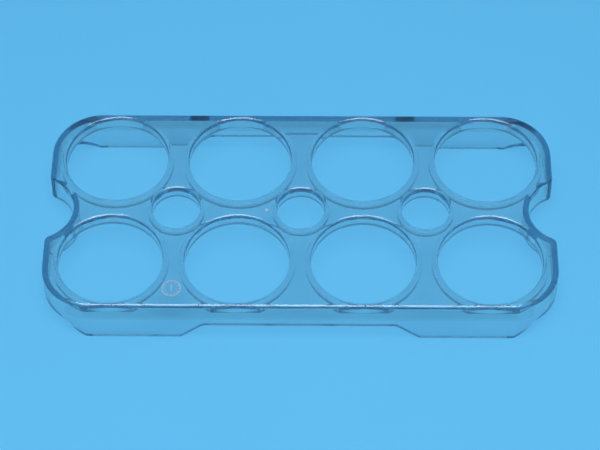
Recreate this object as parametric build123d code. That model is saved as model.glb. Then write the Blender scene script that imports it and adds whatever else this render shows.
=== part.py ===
from build123d import *
import math
import os

# Clear moulded egg rack: a flat deck with two rows of four egg holes and three
# small holes, a drafted skirt all round, a scoop in each end, and four feet on
# the long sides. One injection moulding.
# Frame: mm, +X along the rack, +Z up, feet on z = 0, centred on X and Y.

# Deck and skirt
deck_length = 203.4        # over the outer faces, at the level of the deck
deck_width = 97.0
overall_height = 20.0
corner_radius = 20.0       # plan corners, at the level of the deck
draft = 1.5                # degrees, every skirt face flares downwards
wall = 2.4
deck_thickness = 3.0
top_edge_round = 1.6

# Lower rim of the skirt
skirt_lift = 7.7           # clear height under the rim, between the feet and at the ends
foot_inner_x = 47.1        # where the foot's flat starts and ends, from the middle
foot_outer_x = 84.6
ramp_run = 9.1             # length along X of each ramp beside a foot
ramp_top_round = 4.0
ramp_toe_round = 0.8

# Finger scoop in each end
scoop_radius = 15.5
scoop_depth = 10.4         # from the end face to the bottom of the scoop
scoop_corner_round = 2.6
scoop_inner_corner = 1.0

# Egg holes
columns = 4
pitch_x = 50.0
pitch_y = 50.4
egg_throat = 20.7          # radius under the rolled edge
egg_collar_wall = 2.4
collar_depth = 5.3         # from the top of the deck to the collar's lower edge
hole_round = 1.6           # rolled edge of every hole
round_steps = 3            # flats that make up that rolled edge in section

# Small holes on the centre line
small_holes = 3
small_throat = 9.5
small_collar_wall = 1.9

deck_z = overall_height
collar_z = deck_z - collar_depth


def outline(inset, scoop_corner):
    """Plan of the rack at deck level: rounded rectangle, scooped at both ends, set in by a distance."""
    half_length = deck_length / 2 - inset
    plan = Rectangle(2 * half_length, deck_width - 2 * inset)
    plan = fillet(plan.vertices(), corner_radius - inset)
    scoop_x = deck_length / 2 - scoop_depth + scoop_radius
    for side in (-1, 1):
        plan -= Pos(side * scoop_x, 0) * Circle(scoop_radius + inset)
    tips = [v for v in plan.vertices() if abs(v.Y) < scoop_radius + inset and abs(abs(v.X) - half_length) < 1e-4]
    return fillet(tips, scoop_corner)


def skirt_body(inset, top, scoop_corner):
    """Solid inside the outline, flaring downwards from deck level, cut off at the height top."""
    plan = outline(inset, scoop_corner)
    body = extrude(Pos(0, 0, deck_z) * plan, amount=deck_z, dir=(0, 0, -1), taper=-draft)
    if top < deck_z:
        body = split(body, bisect_by=Plane.XY.offset(top), keep=Keep.BOTTOM)
    return body


def rim_cutters():
    """Everything under the lower rim, as shapes drawn in the side view and run through the rack."""
    far = deck_length
    run = ramp_run / skirt_lift
    below = 5.0
    middle = Polyline(
        (-foot_inner_x - below * run, -below), (-foot_inner_x, 0), (-foot_inner_x + ramp_run, skirt_lift),
        (foot_inner_x - ramp_run, skirt_lift), (foot_inner_x, 0), (foot_inner_x + below * run, -below), close=True)
    end = Polyline(
        (foot_outer_x - below * run, -below), (foot_outer_x + ramp_run, skirt_lift), (far, skirt_lift),
        (far, -below), close=True)
    cutters = []
    for line in (middle, end):
        face = make_face(line)
        face = fillet([v for v in face.vertices() if v.Y > skirt_lift - 1e-4 and v.X < far - 1], ramp_top_round)
        cutters.append(extrude(Plane.XZ * face, amount=deck_width, both=True))
    scoop_reach = scoop_depth + wall + 4
    scoop = Pos(deck_length / 2 - scoop_reach + far / 2, 0, (skirt_lift - below) / 2) * Box(
        far, 2 * (scoop_radius + wall), skirt_lift + below)
    cutters.append(scoop)
    for cutter in (cutters[1], scoop):
        cutters.append(mirror(cutter, about=Plane.YZ))
    return cutters


def toes_rounded(shell):
    """The shell with the ends of its four feet rounded off."""
    toes = [e for e in shell.edges() if e.bounding_box().max.Z < 1e-3 and e.bounding_box().size.X < 1e-3]
    return fillet(toes, ramp_toe_round)


def throat(radius):
    """Cutter for one hole: rolled edge at the deck, then straight down to the collar's lower edge."""
    low = deck_z - hole_round
    profile = Line((0, collar_z), (radius, collar_z))
    profile += Line((radius, collar_z), (radius, low))
    turns = [math.radians(90 * step / round_steps) for step in range(round_steps + 1)]
    roll = [(radius + hole_round * (1 - math.cos(turn)), low + hole_round * math.sin(turn)) for turn in turns]
    profile += Polyline(*roll)
    profile += Line((radius + hole_round, deck_z), (radius + hole_round, deck_z + 2))
    profile += Line((radius + hole_round, deck_z + 2), (0, deck_z + 2))
    profile += Line((0, deck_z + 2), (0, collar_z))
    return revolve(Plane.XZ * make_face(profile), axis=Axis.Z)


def collar(radius, thickness):
    """Ring wall under one hole, as a full round boss: the throat is cut through it later."""
    height = collar_depth - deck_thickness / 2
    return Pos(0, 0, collar_z + height / 2) * Cylinder(radius + thickness, height)


hole_places = []
for column in range(columns):
    for row in (-0.5, 0.5):
        hole_places.append((pitch_x * (column - (columns - 1) / 2), pitch_y * row))
small_places = [(pitch_x * (n - (small_holes - 1) / 2), 0) for n in range(small_holes)]

# Shell: outer body with its rolled top edge, hollowed from below
outer = skirt_body(0, deck_z, scoop_corner_round)
outer = fillet(outer.faces().sort_by(Axis.Z)[-1].edges(), top_edge_round)
cavity = skirt_body(wall, deck_z - deck_thickness, scoop_inner_corner)
shell = outer - cavity
for cutter in rim_cutters():
    shell -= cutter
shell = toes_rounded(shell)

# Collars, kept inside the middle of the skirt's wall
bosses = [Pos(x, y) * collar(egg_throat, egg_collar_wall) for x, y in hole_places]
bosses += [Pos(x, y) * collar(small_throat, small_collar_wall) for x, y in small_places]
keep = skirt_body(wall / 2, deck_z - deck_thickness / 4, scoop_corner_round)
rack = shell
for boss in bosses:
    rack += boss & keep

# Holes
for x, y in hole_places:
    rack -= Pos(x, y) * throat(egg_throat)
for x, y in small_places:
    rack -= Pos(x, y) * throat(small_throat)

rack = rack.solids()[0]
os.makedirs("parts", exist_ok=True)
export_step(rack, "parts/egg_rack.step")
print("solids", len(rack.solids()), "faces", len(rack.faces()), "volume", round(rack.volume, 1), "valid", rack.is_valid)
print("box", rack.bounding_box())
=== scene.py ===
import logging
import math
from dataclasses import dataclass

import bmesh
import bpy
from mathutils import Matrix, Vector


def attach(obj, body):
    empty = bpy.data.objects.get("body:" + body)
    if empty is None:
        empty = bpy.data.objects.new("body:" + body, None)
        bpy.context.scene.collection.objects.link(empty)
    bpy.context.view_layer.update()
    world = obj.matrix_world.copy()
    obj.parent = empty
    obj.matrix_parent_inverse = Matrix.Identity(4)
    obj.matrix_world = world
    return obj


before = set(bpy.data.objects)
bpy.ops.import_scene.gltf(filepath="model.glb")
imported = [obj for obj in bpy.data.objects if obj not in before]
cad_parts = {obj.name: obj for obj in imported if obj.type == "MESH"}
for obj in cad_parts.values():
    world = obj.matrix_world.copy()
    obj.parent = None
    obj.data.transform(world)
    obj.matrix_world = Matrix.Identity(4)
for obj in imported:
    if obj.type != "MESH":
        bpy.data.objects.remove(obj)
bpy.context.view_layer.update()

logging.basicConfig(level=logging.INFO, format="%(message)s")
log = logging.getLogger("egg_rack")

MM = 0.001
TOUCHING = 0.001 * MM
STYRENE_IOR = 1.59

MATHS = "ShaderNodeMath"
VECTORS = "ShaderNodeVectorMath"
SPLIT = "ShaderNodeSeparateXYZ"

# The Mix node has sockets of one name for every kind of value, so they go by number.
COLOUR_A, COLOUR_B, COLOUR_OUT = 6, 7, 2
VECTOR_A, VECTOR_B, VECTOR_OUT = 4, 5, 1


def linear(code: str) -> tuple[float, float, float, float]:
    """Turns an sRGB colour into Blender's linear one.

    Args:
        code: The colour as six hex digits.

    Returns:
        Red, green, blue and an alpha of 1, all linear.
    """
    channels = [int(code[i:i + 2], 16) / 255 for i in (0, 2, 4)]
    red, green, blue = [c / 12.92 if c <= 0.04045 else ((c + 0.055) / 1.055) ** 2.4 for c in channels]
    return red, green, blue, 1.0


def add_node(
    owner: bpy.types.Material | bpy.types.World,
    kind: str,
    settings: dict[str, object] | None = None,
    values: dict[str | int, object] | None = None,
    links: dict[str | int, bpy.types.NodeSocket] | None = None,
) -> bpy.types.Node:
    """Adds one shader node with its settings, its plain values and its incoming links.

    Args:
        owner: The material or world whose tree gets the node.
        kind: The node's type name, such as ShaderNodeMath.
        settings: Properties of the node itself.
        values: Values for its input sockets, by name or by number.
        links: Sockets that feed its inputs, by name or by number.

    Returns:
        The new node.
    """
    tree = owner.node_tree
    node = tree.nodes.new(kind)
    for name, value in (settings or {}).items():
        setattr(node, name, value)
    for name, value in (values or {}).items():
        node.inputs[name].default_value = value
    for name, socket in (links or {}).items():
        tree.links.new(socket, node.inputs[name])
    return node


def new_material(name: str) -> tuple[bpy.types.Material, bpy.types.Node]:
    """Makes an empty node material.

    Args:
        name: The material's name.

    Returns:
        The material and its output node.
    """
    material = bpy.data.materials.new(name)
    material.use_nodes = True
    material.node_tree.nodes.clear()
    return material, add_node(material, "ShaderNodeOutputMaterial")


@dataclass(frozen=True)
class HoleKind:
    """One kind of hole, and the cell that repeats around every hole of that kind.

    Attributes:
        throat: Radius under the rolled edge.
        high: The cell's corner at its highest coordinates.
        low: The cell's corner at its lowest coordinates.
        centre: The point on the hole's axis at the height where the rolled edge starts.
    """

    throat: float
    high: tuple[float, float, float]
    low: tuple[float, float, float]
    centre: tuple[float, float, float]


@dataclass(frozen=True)
class Rack:
    """The rack: one moulding, shaped already, whose finish follows its sizes.

    Attributes:
        node: Its name in the frame.
        hole_pitch: From egg hole to egg hole along X.
        row_pitch: Between the two rows of egg holes.
        egg_throat: Radius of an egg hole under its rolled edge.
        small_throat: Radius of a small hole under its rolled edge.
        roll: Radius of the rolled edges.
        deck_thickness: Thickness of the deck.
        skirt_inside: Half length and half width beyond which a face counts as the skirt's. That takes in
            its straight parts and leaves out its corners and scoops.
        painted_shade_bottom: Height down to which the skirt's upper part has the darker tint that paints
            shade on it.
        rim_top: Height that the skirt's lower rim, with its painted shade, stays under.
        endless: Half side of a cell that isn't repeated, far beyond the rack.
    """

    node: str = "egg_rack"
    hole_pitch: float = 50.0 * MM
    row_pitch: float = 50.4 * MM
    egg_throat: float = 20.7 * MM
    small_throat: float = 9.5 * MM
    roll: float = 1.6 * MM
    deck_thickness: float = 3.0 * MM
    skirt_inside: tuple[float, float] = (98.5 * MM, 46.0 * MM)
    painted_shade_bottom: float = 11.4 * MM
    rim_top: float = 14.0 * MM
    endless: float = 1.0

    def deck_top(self) -> float:
        """Gives the height of the deck's upper face, which is the top of the rack in the frame."""
        return round(max(corner[2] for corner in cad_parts[self.node].bound_box), 6)

    def deck_bottom(self) -> float:
        """Gives the height of the deck's lower face."""
        return self.deck_top() - self.deck_thickness

    def roll_start(self) -> float:
        """Gives the height at which the rolled edges start."""
        return self.deck_top() - self.roll

    def hole_kinds(self) -> tuple[HoleKind, HoleKind]:
        """Gives the two kinds of hole.

        Returns:
            The egg holes, which repeat both ways, and the small ones, which repeat along X only.
        """
        half_pitch, half_row, start = self.hole_pitch / 2, self.row_pitch / 2, self.roll_start()
        egg = HoleKind(
            self.egg_throat, (self.hole_pitch, self.row_pitch, self.endless), (0.0, 0.0, -self.endless),
            (half_pitch, half_row, start))
        small = HoleKind(
            self.small_throat, (half_pitch, self.endless, self.endless),
            (-half_pitch, -self.endless, -self.endless), (0.0, 0.0, start))
        return egg, small

    def dress(self, finish: bpy.types.Material) -> None:
        """Gives every face of the rack its finish.

        Args:
            finish: The material.
        """
        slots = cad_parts[self.node].material_slots
        for slot in slots:
            slot.material = finish
        log.info("%s: %s in %d slot(s)", self.node, finish.name, len(slots))


@dataclass(frozen=True)
class ClearStyrene:
    """Crystal polystyrene, injection moulded in a polished steel mould.

    Attributes:
        rack: The rack whose edges and walls the finish follows.
        name: The material's name.
        colour: Tint of a face.
        skirt_painted_shade: Darker tint of the upper part of the skirt: painted shade.
        rim_painted_shade: Dark tint of the skirt's lower rim: painted shade.
        level: A face belongs to the rim, and gets its painted shade, where its normal is at least this
            upright.
        round_slack: How far a flat of a rolled edge may lie from the true round.
        smoothest: Roughness where the melt copied the steel best.
        roughest: Roughness where it copied it least.
        flow_size: Size of the melt's flow marks.
        flow_height: Their height.
        flow_strength: Share of that height that shows.
        speck_size: Size of dust and tiny scratches, drawn as coarse as the picture needs.
        haze: Share of the light that the surface scatters everywhere.
        specks: What a speck adds to it.
        haze_colour: Colour of that scattered light.
        lamp_tint: What a face lets through of the lamp's light on its way to the floor.
        depth_colour: Colour that long paths inside the plastic tend to.
        depth_density: How soon they get there, per metre.
    """

    rack: Rack
    name: str = "clear_styrene"
    colour: str = "F1F2F2"
    skirt_painted_shade: str = "DCDDDD"
    rim_painted_shade: str = "587E97"
    level: float = 0.3
    round_slack: float = 0.07 * MM
    smoothest: float = 0.02
    roughest: float = 0.07
    flow_size: float = 14 * MM
    flow_height: float = 0.2 * MM
    flow_strength: float = 0.07
    speck_size: float = 1.1 * MM
    haze: float = 0.008
    specks: float = 0.02
    haze_colour: str = "D3E2EA"
    lamp_tint: str = "FCFCFC"
    depth_colour: str = "8FB7D2"
    depth_density: float = 24.0

    def tint(self, material: bpy.types.Material, place: bpy.types.NodeSocket) -> bpy.types.NodeSocket:
        """Picks the tint, with painted shade: darker on the upper part of the skirt, darkest on its lower
        rim.

        Args:
            material: The material that gets the nodes.
            place: The Object coordinates.

        Returns:
            The colour.
        """
        rack = self.rack
        # Painted shade: the upper part of the skirt is tinted darker, down to an even line on every side, for
        # the deck's shadow on the floor seen through it.
        spread = add_node(material, VECTORS, {"operation": "ABSOLUTE"}, links={0: place}).outputs[0]
        beyond = add_node(
            material, VECTORS, {"operation": "SUBTRACT"}, {1: (*rack.skirt_inside, rack.painted_shade_bottom)},
            {0: spread}).outputs[0]
        past_x, past_y, past_step = add_node(material, SPLIT, links={0: beyond}).outputs
        outward = add_node(material, MATHS, {"operation": "MAXIMUM"}, links={0: past_x, 1: past_y}).outputs[0]
        least = add_node(
            material, MATHS, {"operation": "MINIMUM"}, links={0: outward, 1: past_step}).outputs[0]
        above_step = add_node(material, MATHS, {"operation": "GREATER_THAN"}, {1: 0.0}, {0: least}).outputs[0]
        height = add_node(material, SPLIT, links={0: place}).outputs["Z"]
        under_roll = add_node(
            material, MATHS, {"operation": "LESS_THAN"}, {1: rack.roll_start()}, {0: height}).outputs[0]
        upper = add_node(
            material, MATHS, {"operation": "MULTIPLY"}, links={0: above_step, 1: under_roll}).outputs[0]
        walls = add_node(
            material, "ShaderNodeMix", {"data_type": "RGBA"},
            {COLOUR_A: linear(self.colour), COLOUR_B: linear(self.skirt_painted_shade)},
            {"Factor": upper}).outputs[COLOUR_OUT]
        # Painted shade: the level faces of the lower rim get a dark tint, for the shadow on the floor under
        # the walls seen down through them, which draws the outline dark.
        normal = add_node(material, "ShaderNodeNewGeometry").outputs["Normal"]
        facing = add_node(material, VECTORS, {"operation": "ABSOLUTE"}, links={0: normal}).outputs[0]
        upright = add_node(material, SPLIT, links={0: facing}).outputs["Z"]
        flat = add_node(
            material, MATHS, {"operation": "GREATER_THAN"}, {1: self.level}, {0: upright}).outputs[0]
        deep = add_node(
            material, MATHS, {"operation": "LESS_THAN"}, {1: rack.rim_top}, {0: height}).outputs[0]
        rim = add_node(material, MATHS, {"operation": "MULTIPLY"}, links={0: flat, 1: deep}).outputs[0]
        return add_node(
            material, "ShaderNodeMix", {"data_type": "RGBA"}, {COLOUR_B: linear(self.rim_painted_shade)},
            {"Factor": rim, COLOUR_A: walls}).outputs[COLOUR_OUT]

    def rolled_edges(self, material: bpy.types.Material, place: bpy.types.NodeSocket) -> bpy.types.NodeSocket:
        """Gives the flats of every rolled hole edge the normal of the true round that they stand for.

        Args:
            material: The material that gets the nodes.
            place: The Object coordinates.

        Returns:
            The normal, which is the mesh's own everywhere else.
        """
        start = self.rack.roll_start()
        surface = add_node(material, "ShaderNodeNewGeometry").outputs
        # The mesh's normal is turned towards the ray that meets it, so the round's is turned in the same way.
        side = add_node(
            material, MATHS, {"operation": "MULTIPLY_ADD"}, {1: -2.0, 2: 1.0},
            {0: surface["Backfacing"]}).outputs[0]
        height = add_node(material, SPLIT, links={0: place}).outputs["Z"]
        above = add_node(material, MATHS, {"operation": "GREATER_THAN"}, {1: start}, {0: height}).outputs[0]
        normal = surface["Normal"]
        for hole in self.rack.hole_kinds():
            cell = add_node(
                material, VECTORS, {"operation": "WRAP"}, {1: hole.high, 2: hole.low}, {0: place}).outputs[0]
            local = add_node(
                material, VECTORS, {"operation": "SUBTRACT"}, {1: hole.centre}, {0: cell}).outputs[0]
            flat = add_node(
                material, VECTORS, {"operation": "MULTIPLY"}, {1: (1.0, 1.0, 0.0)}, {0: local}).outputs[0]
            up = add_node(
                material, VECTORS, {"operation": "MULTIPLY"}, {1: (0.0, 0.0, 1.0)}, {0: local}).outputs[0]
            reach = add_node(material, VECTORS, {"operation": "LENGTH"}, links={0: flat}).outputs["Value"]
            # The round's own centre lies one roll outside the throat, so on the edge this is below zero.
            past = add_node(
                material, MATHS, {"operation": "SUBTRACT"}, {1: hole.throat + self.rack.roll},
                {0: reach}).outputs[0]
            share = add_node(material, MATHS, {"operation": "DIVIDE"}, links={0: past, 1: reach}).outputs[0]
            across = add_node(
                material, VECTORS, {"operation": "SCALE"}, links={0: flat, "Scale": share}).outputs[0]
            spoke = add_node(material, VECTORS, {"operation": "ADD"}, links={0: across, 1: up}).outputs[0]
            length = add_node(material, VECTORS, {"operation": "LENGTH"}, links={0: spoke}).outputs["Value"]
            unit = add_node(material, VECTORS, {"operation": "NORMALIZE"}, links={0: spoke}).outputs[0]
            turned = add_node(
                material, VECTORS, {"operation": "SCALE"}, links={0: unit, "Scale": side}).outputs[0]
            near_round = add_node(
                material, MATHS, {"operation": "COMPARE"}, {1: self.rack.roll, 2: self.round_slack},
                {0: length}).outputs[0]
            inside = add_node(material, MATHS, {"operation": "LESS_THAN"}, {1: 0.0}, {0: past}).outputs[0]
            on_edge = add_node(
                material, MATHS, {"operation": "MULTIPLY"}, links={0: near_round, 1: inside}).outputs[0]
            on_roll = add_node(
                material, MATHS, {"operation": "MULTIPLY"}, links={0: on_edge, 1: above}).outputs[0]
            normal = add_node(
                material, "ShaderNodeMix", {"data_type": "VECTOR"},
                links={"Factor": on_roll, VECTOR_A: normal, VECTOR_B: turned}).outputs[VECTOR_OUT]
        return normal

    def build(self) -> bpy.types.Material:
        """Makes the material.

        Returns:
            The new material.
        """
        # Water-clear polystyrene bends light more than acrylic does, so its edges draw dark and bright lines
        # while its faces all but vanish. A polished mould leaves it glossy, with faint long flow marks.
        material, output = new_material(self.name)
        place = add_node(material, "ShaderNodeTexCoord").outputs["Object"]
        flow = add_node(
            material, "ShaderNodeTexNoise",
            values={"Scale": 1 / self.flow_size, "Detail": 2.0, "Distortion": 0.6}, links={"Vector": place})
        fine = add_node(
            material, "ShaderNodeTexNoise",
            values={"Scale": 1 / self.speck_size, "Detail": 1.0, "Roughness": 0.6}, links={"Vector": place})
        ripple = add_node(
            material, "ShaderNodeBump",
            values={"Strength": self.flow_strength, "Distance": self.flow_height},
            links={"Height": flow.outputs["Fac"], "Normal": self.rolled_edges(material, place)})
        polish = add_node(
            material, "ShaderNodeMapRange",
            values={"From Min": 0.3, "From Max": 0.7, "To Min": self.smoothest, "To Max": self.roughest},
            links={"Value": flow.outputs["Fac"]})
        glass = add_node(
            material, "ShaderNodeBsdfPrincipled",
            values={"IOR": STYRENE_IOR, "Transmission Weight": 1.0},
            links={"Base Color": self.tint(material, place), "Roughness": polish.outputs["Result"],
                   "Normal": ripple.outputs["Normal"]})
        # Dust and fine wear catch the light as specks on an otherwise empty face.
        dust = add_node(
            material, "ShaderNodeMapRange",
            values={"From Min": 0.62, "From Max": 0.72,
                    "To Min": self.haze, "To Max": self.haze + self.specks},
            links={"Value": fine.outputs["Fac"]})
        bloom = add_node(material, "ShaderNodeBsdfDiffuse", values={"Color": linear(self.haze_colour)})
        body = add_node(
            material, "ShaderNodeMixShader",
            links={0: dust.outputs["Result"], 1: glass.outputs["BSDF"], 2: bloom.outputs["BSDF"]})
        # The lamp's light passes straight through, so the floor stays light under the rack.
        path = add_node(material, "ShaderNodeLightPath").outputs
        from_floor = add_node(
            material, MATHS, {"operation": "MAXIMUM"},
            links={0: path["Is Shadow Ray"], 1: path["Is Diffuse Ray"]})
        through = add_node(material, "ShaderNodeBsdfTransparent", values={"Color": linear(self.lamp_tint)})
        lit = add_node(
            material, "ShaderNodeMixShader",
            links={0: from_floor.outputs["Value"], 1: body.outputs["Shader"], 2: through.outputs["BSDF"]})
        # Light that is caught inside the deck or a wall comes out navy at the edges.
        depth = add_node(
            material, "ShaderNodeVolumeAbsorption",
            values={"Color": linear(self.depth_colour), "Density": self.depth_density})
        material.node_tree.links.new(lit.outputs["Shader"], output.inputs["Surface"])
        material.node_tree.links.new(depth.outputs["Volume"], output.inputs["Volume"])
        return material


@dataclass(frozen=True)
class CrazedStyrene:
    """Polystyrene that was sheared, or moulded against engraved steel: white and matt where it scatters.

    Attributes:
        name: The material's name.
        pale: Colour of the crazing.
        deep: Colour of the clear spots in it.
        roughness: How matt it is.
        grain: Size of the cracks, drawn as coarse as the picture needs.
        relief: Depth of the cracks.
        relief_strength: Share of that depth that shows.
    """

    name: str = "crazed_styrene"
    pale: str = "DCEBF4"
    deep: str = "8FB9D2"
    roughness: float = 0.55
    grain: float = 0.35 * MM
    relief: float = 0.05 * MM
    relief_strength: float = 0.4

    def build(self) -> bpy.types.Material:
        """Makes the material.

        Returns:
            The new material.
        """
        # Crazing is a net of tiny cracks, so the eye sees a broken white with clear spots in it.
        material, output = new_material(self.name)
        place = add_node(material, "ShaderNodeTexCoord").outputs["Object"]
        cracks = add_node(
            material, "ShaderNodeTexNoise", values={"Scale": 1 / self.grain, "Detail": 2.0},
            links={"Vector": place}).outputs["Fac"]
        colour = add_node(
            material, "ShaderNodeMix", {"data_type": "RGBA"},
            {COLOUR_A: linear(self.deep), COLOUR_B: linear(self.pale)},
            {"Factor": cracks}).outputs[COLOUR_OUT]
        relief = add_node(
            material, "ShaderNodeBump", values={"Strength": self.relief_strength, "Distance": self.relief},
            links={"Height": cracks}).outputs["Normal"]
        shader = add_node(
            material, "ShaderNodeBsdfPrincipled", values={"Roughness": self.roughness, "IOR": STYRENE_IOR},
            links={"Base Color": colour, "Normal": relief})
        material.node_tree.links.new(shader.outputs["BSDF"], output.inputs["Surface"])
        return material


@dataclass(frozen=True)
class PalePaper:
    """Matt pale blue background paper, dyed in the pulp.

    Attributes:
        name: The material's name.
        colour: Colour where it took the dye least.
        shade: Colour where it took it most.
        cloud_size: Size of the uneven patches.
        roughness: How matt it is.
        sheen: How strongly it mirrors at a low angle.
    """

    name: str = "pale_paper"
    colour: str = "6CC8F1"
    shade: str = "69C4EE"
    cloud_size: float = 90 * MM
    roughness: float = 0.9
    sheen: float = 0.1

    def build(self) -> bpy.types.Material:
        """Makes the material.

        Returns:
            The new material.
        """
        # Dyed paper takes its dye a little unevenly, which the eye reads as a surface and not as a void.
        material, output = new_material(self.name)
        place = add_node(material, "ShaderNodeTexCoord").outputs["Object"]
        clouds = add_node(
            material, "ShaderNodeTexNoise", values={"Scale": 1 / self.cloud_size, "Detail": 3.0},
            links={"Vector": place}).outputs["Fac"]
        colour = add_node(
            material, "ShaderNodeMix", {"data_type": "RGBA"},
            {COLOUR_A: linear(self.shade), COLOUR_B: linear(self.colour)},
            {"Factor": clouds}).outputs[COLOUR_OUT]
        shader = add_node(
            material, "ShaderNodeBsdfPrincipled",
            values={"Roughness": self.roughness, "Specular IOR Level": self.sheen},
            links={"Base Color": colour})
        material.node_tree.links.new(shader.outputs["BSDF"], output.inputs["Surface"])
        return material


def finish_piece(work: bmesh.types.BMesh, name: str, material: bpy.types.Material) -> bpy.types.Object:
    """Turns a bmesh into a piece of the rack that rides on its only body.

    Args:
        work: The shape, in its place. It is freed.
        name: The piece's name.
        material: Its finish.

    Returns:
        The piece's object.
    """
    bmesh.ops.recalc_face_normals(work, faces=list(work.faces))
    mesh = bpy.data.meshes.new(name)
    work.to_mesh(mesh)
    work.free()
    piece = bpy.data.objects.new(name, mesh)
    bpy.context.scene.collection.objects.link(piece)
    mesh.materials.append(material)
    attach(piece, "root")
    log.info("%s: %d faces", name, len(mesh.polygons))
    return piece


@dataclass
class GateStub:
    """What is left of the gate through which the plastic came in, under the deck.

    Attributes:
        under: Height of the deck's lower face.
        x: Its place along the rack.
        y: Its place across the rack.
        root_radius: Radius where it joins the deck.
        tip_radius: Radius where it was broken off.
        height: How far it hangs down.
        tip_round: Radius of the broken end's edge.
        sides: Number of flats around it.
        round_steps: Number of flats across the broken end's edge.
    """

    under: float
    x: float = -13.7 * MM
    y: float = 0.1 * MM
    root_radius: float = 0.75 * MM
    tip_radius: float = 0.525 * MM
    height: float = 0.6 * MM
    tip_round: float = 0.15 * MM
    sides: int = 24
    round_steps: int = 2

    def build(self, material: bpy.types.Material) -> bpy.types.Object:
        """Makes the stub: a short cone with a rounded, broken end.

        Args:
            material: Its finish.

        Returns:
            The piece's object.
        """
        work = bmesh.new()
        bmesh.ops.create_cone(
            work, cap_ends=True, segments=self.sides, radius1=self.tip_radius, radius2=self.root_radius,
            depth=self.height)
        tip = [edge for edge in work.edges if all(vert.co.z < 0 for vert in edge.verts)]
        bmesh.ops.bevel(
            work, geom=tip, offset=self.tip_round, offset_type="OFFSET", segments=self.round_steps,
            profile=0.5, affect="EDGES", material=-1)
        middle = self.under - self.height / 2
        bmesh.ops.translate(work, verts=list(work.verts), vec=(self.x, self.y, middle))
        return finish_piece(work, "gate_stub", material)


@dataclass
class MouldDial:
    """A plain dial that the mould leaves under the deck: a ring, twelve ticks and a hand, unlettered.

    Attributes:
        under: Height of the deck's lower face.
        x: Its place along the rack.
        y: Its place across the rack.
        radius: Radius of the ring, to the middle of its line.
        line: Width of the ring's and the hand's line.
        height: How far every line stands out.
        ring_steps: Number of straight lengths in the ring.
        ticks: Number of ticks inside the ring.
        tick_length: Length of a tick.
        tick_width: Width of a tick.
        tick_gap: Space between a tick and the ring.
        shaft_length: Length of the hand's shaft.
        shaft_middle: Where the shaft's middle lies, from the dial's.
        head_radius: Radius of the hand's three-cornered head.
        head_middle: Where the head's middle lies, from the dial's.
    """

    under: float
    x: float = -50.3 * MM
    y: float = -38.6 * MM
    radius: float = 3.6 * MM
    line: float = 0.45 * MM
    height: float = 0.2 * MM
    ring_steps: int = 48
    ticks: int = 12
    tick_length: float = 0.8 * MM
    tick_width: float = 0.315 * MM
    tick_gap: float = 0.24 * MM
    shaft_length: float = 2.04 * MM
    shaft_middle: float = -0.3 * MM
    head_radius: float = 0.7 * MM
    head_middle: float = 1.1 * MM

    def add_ring(self, work: bmesh.types.BMesh) -> None:
        """Spins the line's section into the ring and takes away the section left inside it.

        Args:
            work: The empty bmesh that gets the ring.
        """
        stand = Matrix.Translation((self.radius, 0, 0)) @ Matrix.Rotation(math.pi / 2, 4, "X")
        bmesh.ops.create_grid(
            work, x_segments=1, y_segments=1, size=0.5,
            matrix=stand @ Matrix.Diagonal((self.line, self.height, 1, 1)))
        bmesh.ops.spin(
            work, geom=list(work.verts) + list(work.edges) + list(work.faces), cent=(0, 0, 0),
            axis=(0, 0, 1), angle=2 * math.pi, steps=self.ring_steps, use_merge=True)
        inner = [face for face in work.faces if all(len(edge.link_faces) > 2 for edge in face.edges)]
        bmesh.ops.delete(work, geom=inner, context="FACES")
        bmesh.ops.remove_doubles(work, verts=list(work.verts), dist=TOUCHING)

    def add_ticks(self, work: bmesh.types.BMesh) -> None:
        """Sets the ticks inside the ring.

        Args:
            work: The bmesh that gets them.
        """
        middle = self.radius - self.line / 2 - self.tick_gap - self.tick_length / 2
        size = Matrix.Diagonal((self.tick_length, self.tick_width, self.height, 1))
        for number in range(self.ticks):
            turn = Matrix.Rotation(2 * math.pi * number / self.ticks, 4, "Z")
            bmesh.ops.create_cube(work, size=1, matrix=turn @ Matrix.Translation((middle, 0, 0)) @ size)

    def add_hand(self, work: bmesh.types.BMesh) -> None:
        """Sets the hand's three-cornered head on its shaft.

        Args:
            work: The bmesh that gets them.
        """
        turn = Matrix.Rotation(math.pi / 6, 4, "Z")
        bmesh.ops.create_cone(
            work, cap_ends=True, segments=3, radius1=self.head_radius, radius2=self.head_radius,
            depth=self.height, matrix=Matrix.Translation((0, self.head_middle, 0)) @ turn)
        size = Matrix.Diagonal((self.line, self.shaft_length, self.height, 1))
        bmesh.ops.create_cube(work, size=1, matrix=Matrix.Translation((0, self.shaft_middle, 0)) @ size)

    def build(self, material: bpy.types.Material) -> bpy.types.Object:
        """Makes the dial as thin raised lines.

        Args:
            material: Its finish.

        Returns:
            The piece's object.
        """
        work = bmesh.new()
        self.add_ring(work)
        self.add_ticks(work)
        self.add_hand(work)
        middle = self.under - self.height / 2
        bmesh.ops.translate(work, verts=list(work.verts), vec=(self.x, self.y, middle))
        return finish_piece(work, "mould_dial", material)


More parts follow.
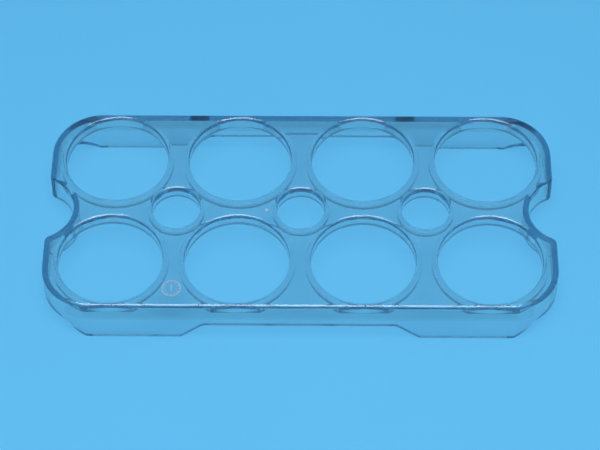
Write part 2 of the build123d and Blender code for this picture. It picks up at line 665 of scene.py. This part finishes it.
@dataclass
class Studio:
    """The paper bowl, the soft light and the camera.

    Attributes:
        bowl_radius: Radius of the paper bowl.
        bowl_height: Height of its wall.
        bowl_bend: Radius of the bend at the wall's foot.
        bowl_sides: Number of straight lengths around it.
        bend_steps: Number of straight lengths in the bend.
        key_height: Height of the key lamp.
        key_forward: How far it hangs in front of the rack.
        key_size: Its side.
        key_share: Its light on the floor, where 1 shows a colour as it is written.
        glint_size: Side of the lamp that only shows as a mirrored bright line.
        glint_radiance: Its brightness.
        glint_nearer: Share of the way to the key lamp at which it hangs, so that neither hides the other.
        world_share: The even light's share on the floor.
        world_colour: Its colour.
        paper_above: What light that comes up out of the plastic meets: more of the same paper.
        room_mirrored: What the plastic mirrors.
        camera_distance: From the camera to its target.
        camera_target: The point in the middle of the picture.
        camera_angles: Elevation, azimuth and roll in degrees.
        film_width: Width of the film in millimetres.
        picture_pixels: Width of the picture in pixels.
        focal_pixels: Focal length in those pixels.
        near_clip: What is nearer to the camera isn't drawn.
        most_bounces: Bounces that a ray may take through the many walls that stand one behind another.
        mirror_bounces: How many of them may be mirrored.
        clamp: Brightest light that one bounced ray may bring, against single bright dots.
    """

    bowl_radius: float = 1.5
    bowl_height: float = 1.5
    bowl_bend: float = 0.5
    bowl_sides: int = 96
    bend_steps: int = 12
    key_height: float = 1.25
    key_forward: float = 0.28
    key_size: float = 0.7
    key_share: float = 0.83
    glint_size: float = 0.85
    glint_radiance: float = 6.5
    glint_nearer: float = 0.95
    world_share: float = 0.15
    world_colour: str = "C8D4DC"
    paper_above: str = "57A7D7"
    room_mirrored: str = "4B8FBB"
    camera_distance: float = 0.88046
    camera_target: tuple[float, float, float] = (-0.206 * MM, -8.657 * MM, 20.0 * MM)
    camera_angles: tuple[float, float, float] = (53.158, 1.016, -0.54)
    film_width: float = 36.0
    picture_pixels: int = 600
    focal_pixels: float = 2210.1
    near_clip: float = 0.01
    most_bounces: int = 32
    mirror_bounces: int = 24
    clamp: float = 40.0

    def add_bowl(self) -> None:
        """Lays the floor under the rack's feet and turns it up into a wall far around it."""
        mesh = bpy.data.meshes.new("paper_bowl")
        work = bmesh.new()
        bmesh.ops.create_circle(work, cap_ends=True, segments=self.bowl_sides, radius=self.bowl_radius)
        rim = bmesh.ops.extrude_edge_only(work, edges=list(work.edges))
        raised = [item for item in rim["geom"] if isinstance(item, bmesh.types.BMVert)]
        bmesh.ops.translate(work, verts=raised, vec=(0, 0, self.bowl_height))
        foot = [edge for edge in work.edges if all(vert.co.z < self.bowl_height / 2 for vert in edge.verts)]
        bmesh.ops.bevel(
            work, geom=foot, offset=self.bowl_bend, offset_type="OFFSET", segments=self.bend_steps,
            profile=0.5, affect="EDGES", material=-1)
        bmesh.ops.recalc_face_normals(work, faces=list(work.faces))
        for face in work.faces:
            face.smooth = True
        work.to_mesh(mesh)
        work.free()
        bowl = bpy.data.objects.new("paper_bowl", mesh)
        bpy.context.scene.collection.objects.link(bowl)
        bowl.data.materials.append(PalePaper().build())

    def add_lamp(self, name: str, size: float, radiance: float, place: Vector) -> bpy.types.Object:
        """Hangs a square soft box that faces the rack and isn't seen through the plastic.

        Args:
            name: The lamp's name.
            size: Its side in metres.
            radiance: How bright its face is.
            place: Where it hangs.

        Returns:
            The lamp's object.
        """
        light = bpy.data.lights.new(name, "AREA")
        light.shape = "SQUARE"
        light.size = size
        light.energy = radiance * math.pi * size ** 2
        lamp = bpy.data.objects.new(name, light)
        lamp.matrix_world = Matrix.Translation(place) @ (-place).to_track_quat("-Z", "Y").to_matrix().to_4x4()
        lamp.visible_transmission = False
        bpy.context.scene.collection.objects.link(lamp)
        return lamp

    def add_lamps(self) -> None:
        """Hangs the key lamp over the rack, and another near it that only draws the bright lines."""
        place = Vector((0.0, -self.key_forward, self.key_height))
        key_radiance = self.key_share * math.pi * place.length_squared / self.key_size ** 2
        key = self.add_lamp("key", self.key_size, key_radiance, place)
        key.visible_glossy = False
        glint = self.add_lamp("glint", self.glint_size, self.glint_radiance, self.glint_nearer * place)
        glint.visible_diffuse = False

    def add_world(self) -> None:
        """Sets a dim even light, and what the plastic shows of the room beyond the floor."""
        world = bpy.data.worlds.new("room")
        world.use_nodes = True
        world.node_tree.nodes.clear()
        path = add_node(world, "ShaderNodeLightPath").outputs
        light = add_node(
            world, "ShaderNodeBackground",
            values={"Color": linear(self.world_colour), "Strength": self.world_share})
        paper = add_node(world, "ShaderNodeBackground", values={"Color": linear(self.paper_above)})
        room = add_node(world, "ShaderNodeBackground", values={"Color": linear(self.room_mirrored)})
        lit = add_node(
            world, "ShaderNodeMixShader",
            links={0: path["Is Transmission Ray"], 1: light.outputs[0], 2: paper.outputs[0]})
        shown = add_node(
            world, "ShaderNodeMixShader",
            links={0: path["Is Glossy Ray"], 1: lit.outputs[0], 2: room.outputs[0]})
        add_node(world, "ShaderNodeOutputWorld", links={"Surface": shown.outputs[0]})
        bpy.context.scene.world = world

    def add_camera(self) -> None:
        """Places the camera where the photograph was taken from."""
        elevation, azimuth, roll = [math.radians(angle) for angle in self.camera_angles]
        level = math.cos(elevation)
        back = Vector((math.sin(azimuth) * level, -math.cos(azimuth) * level, math.sin(elevation)))
        lens = bpy.data.cameras.new("camera")
        lens.sensor_width = self.film_width
        lens.lens = self.focal_pixels * self.film_width / self.picture_pixels
        lens.clip_start = self.near_clip
        camera = bpy.data.objects.new("camera", lens)
        turn = back.to_track_quat("Z", "Y").to_matrix().to_4x4() @ Matrix.Rotation(roll, 4, "Z")
        middle = Vector(self.camera_target) + back * self.camera_distance
        camera.matrix_world = Matrix.Translation(middle) @ turn
        bpy.context.scene.collection.objects.link(camera)
        bpy.context.scene.camera = camera

    def set_light_paths(self) -> None:
        """Lets a ray pass all the walls that it meets, and shows the colours as they are written."""
        scene = bpy.context.scene
        scene.view_settings.view_transform = "Standard"
        scene.cycles.max_bounces = self.most_bounces
        scene.cycles.glossy_bounces = self.mirror_bounces
        scene.cycles.transmission_bounces = self.most_bounces
        scene.cycles.transparent_max_bounces = self.most_bounces
        scene.cycles.sample_clamp_indirect = self.clamp

    def build(self) -> None:
        """Sets up the whole studio."""
        self.add_bowl()
        self.add_lamps()
        self.add_world()
        self.add_camera()
        self.set_light_paths()
        log.info("studio: paper bowl, two lamps, even light and camera")


def main() -> None:
    """Dresses the rack, adds what the mould left under its deck, and sets up the studio."""
    rack = Rack()
    rack.dress(ClearStyrene(rack).build())
    crazed = CrazedStyrene().build()
    GateStub(rack.deck_bottom()).build(crazed)
    MouldDial(rack.deck_bottom()).build(crazed)
    Studio().build()


if __name__ == "__main__":
    main()
